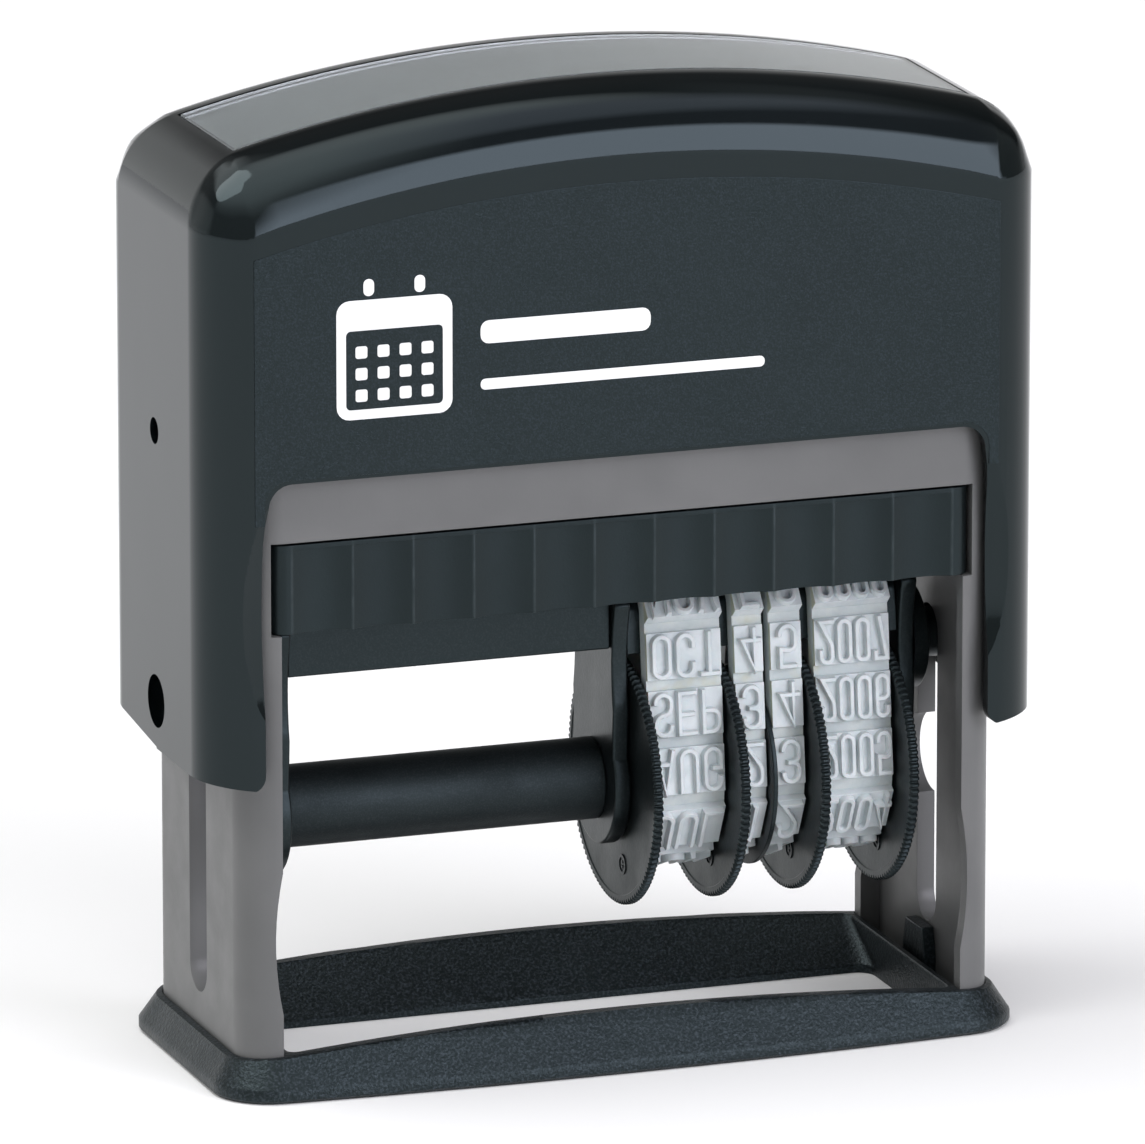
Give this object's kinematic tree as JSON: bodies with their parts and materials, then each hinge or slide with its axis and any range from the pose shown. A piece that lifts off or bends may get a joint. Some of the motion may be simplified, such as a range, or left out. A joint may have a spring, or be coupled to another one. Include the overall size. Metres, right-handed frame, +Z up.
{
  "type": "self-inking rotary date stamp",
  "caption": "Self-inking desk stamp: a sliding case flips a unit with a text plate and four thumb-wheel date bands from the ink pad above to the paper below.",
  "frame": {"origin": "centre of the foot ring's footprint, at desk level", "axes": "+Z up through the crown, -Y towards the front with the cartridge grip, +X to the right, along the wheel axle"},
  "size_m": [0.072, 0.0306, 0.0818],
  "materials": {
    "foot_plastic": "matte, finely speckled",
    "frame_plastic": "satin taupe grey",
    "cartridge_plastic": "satin black",
    "felt_pad": "inked felt",
    "case_plastic": "gloss black with matte front panels",
    "clear_window": "clear gloss",
    "card": "paper card",
    "spring_steel": "drawn wire",
    "unit_plastic": "satin black",
    "die_rubber": "moulded rubber",
    "tube_plastic": "fine matte black",
    "axle_steel": "turned steel",
    "band_rubber": "pale grey type rubber",
    "wheel_plastic": "satin black"
  },
  "bodies": {
    "base": {"base_foot": "foot_plastic", "lower_frame": "frame_plastic", "return_spring": "spring_steel"},
    "cartridge": {"ink_cartridge": "cartridge_plastic", "ink_pad": "felt_pad"},
    "case": {"case_shell": "case_plastic", "top_window": "clear_window", "index_card": "card"},
    "swing_unit": {"left_cheek": "unit_plastic", "middle_cheek": "unit_plastic", "right_cheek": "unit_plastic", "text_platen": "unit_plastic", "text_die": "die_rubber", "spacer_tube": "tube_plastic", "wheel_axle": "axle_steel", "band_bridge": "unit_plastic", "band_divider": "unit_plastic", "month_band": "band_rubber", "day_tens_band": "band_rubber", "day_units_band": "band_rubber", "year_band": "band_rubber"},
    "month_spinner": {"month_wheel": "wheel_plastic"},
    "day_tens_spinner": {"day_tens_wheel": "wheel_plastic"},
    "day_units_spinner": {"day_units_wheel": "wheel_plastic"},
    "year_spinner": {"year_wheel": "wheel_plastic"}
  },
  "joints": [
    {"name": "press", "type": "slide", "parent": "base", "child": "case", "axis": [0, 0, 1], "range_m": [-0.0225, 0], "stiffness_N_per_m": 800, "springref_m": 0.008, "deforming": ["return_spring"]},
    {"name": "flip", "type": "hinge", "parent": "case", "child": "swing_unit", "pos_m": [0, 0, 0.0308], "axis": [1, 0, 0], "range_deg": [-180, 0]},
    {"name": "month_turn", "type": "hinge", "parent": "swing_unit", "child": "month_spinner", "pos_m": [0.0074, 0, 0.02095], "axis": [1, 0, 0], "continuous": true},
    {"name": "day_tens_turn", "type": "hinge", "parent": "swing_unit", "child": "day_tens_spinner", "pos_m": [0.0126, 0, 0.02095], "axis": [1, 0, 0], "continuous": true},
    {"name": "day_units_turn", "type": "hinge", "parent": "swing_unit", "child": "day_units_spinner", "pos_m": [0.0167, 0, 0.02095], "axis": [1, 0, 0], "continuous": true},
    {"name": "year_turn", "type": "hinge", "parent": "swing_unit", "child": "year_spinner", "pos_m": [0.0225, 0, 0.02095], "axis": [1, 0, 0], "continuous": true},
    {"name": "cartridge_slide", "type": "slide", "parent": "base", "child": "cartridge", "axis": [0, -1, 0], "range_m": [0, 0.03]}
  ],
  "couplings": [
    {"joint": "flip", "follows": "press", "rad_per_m": 139.6}
  ]
}
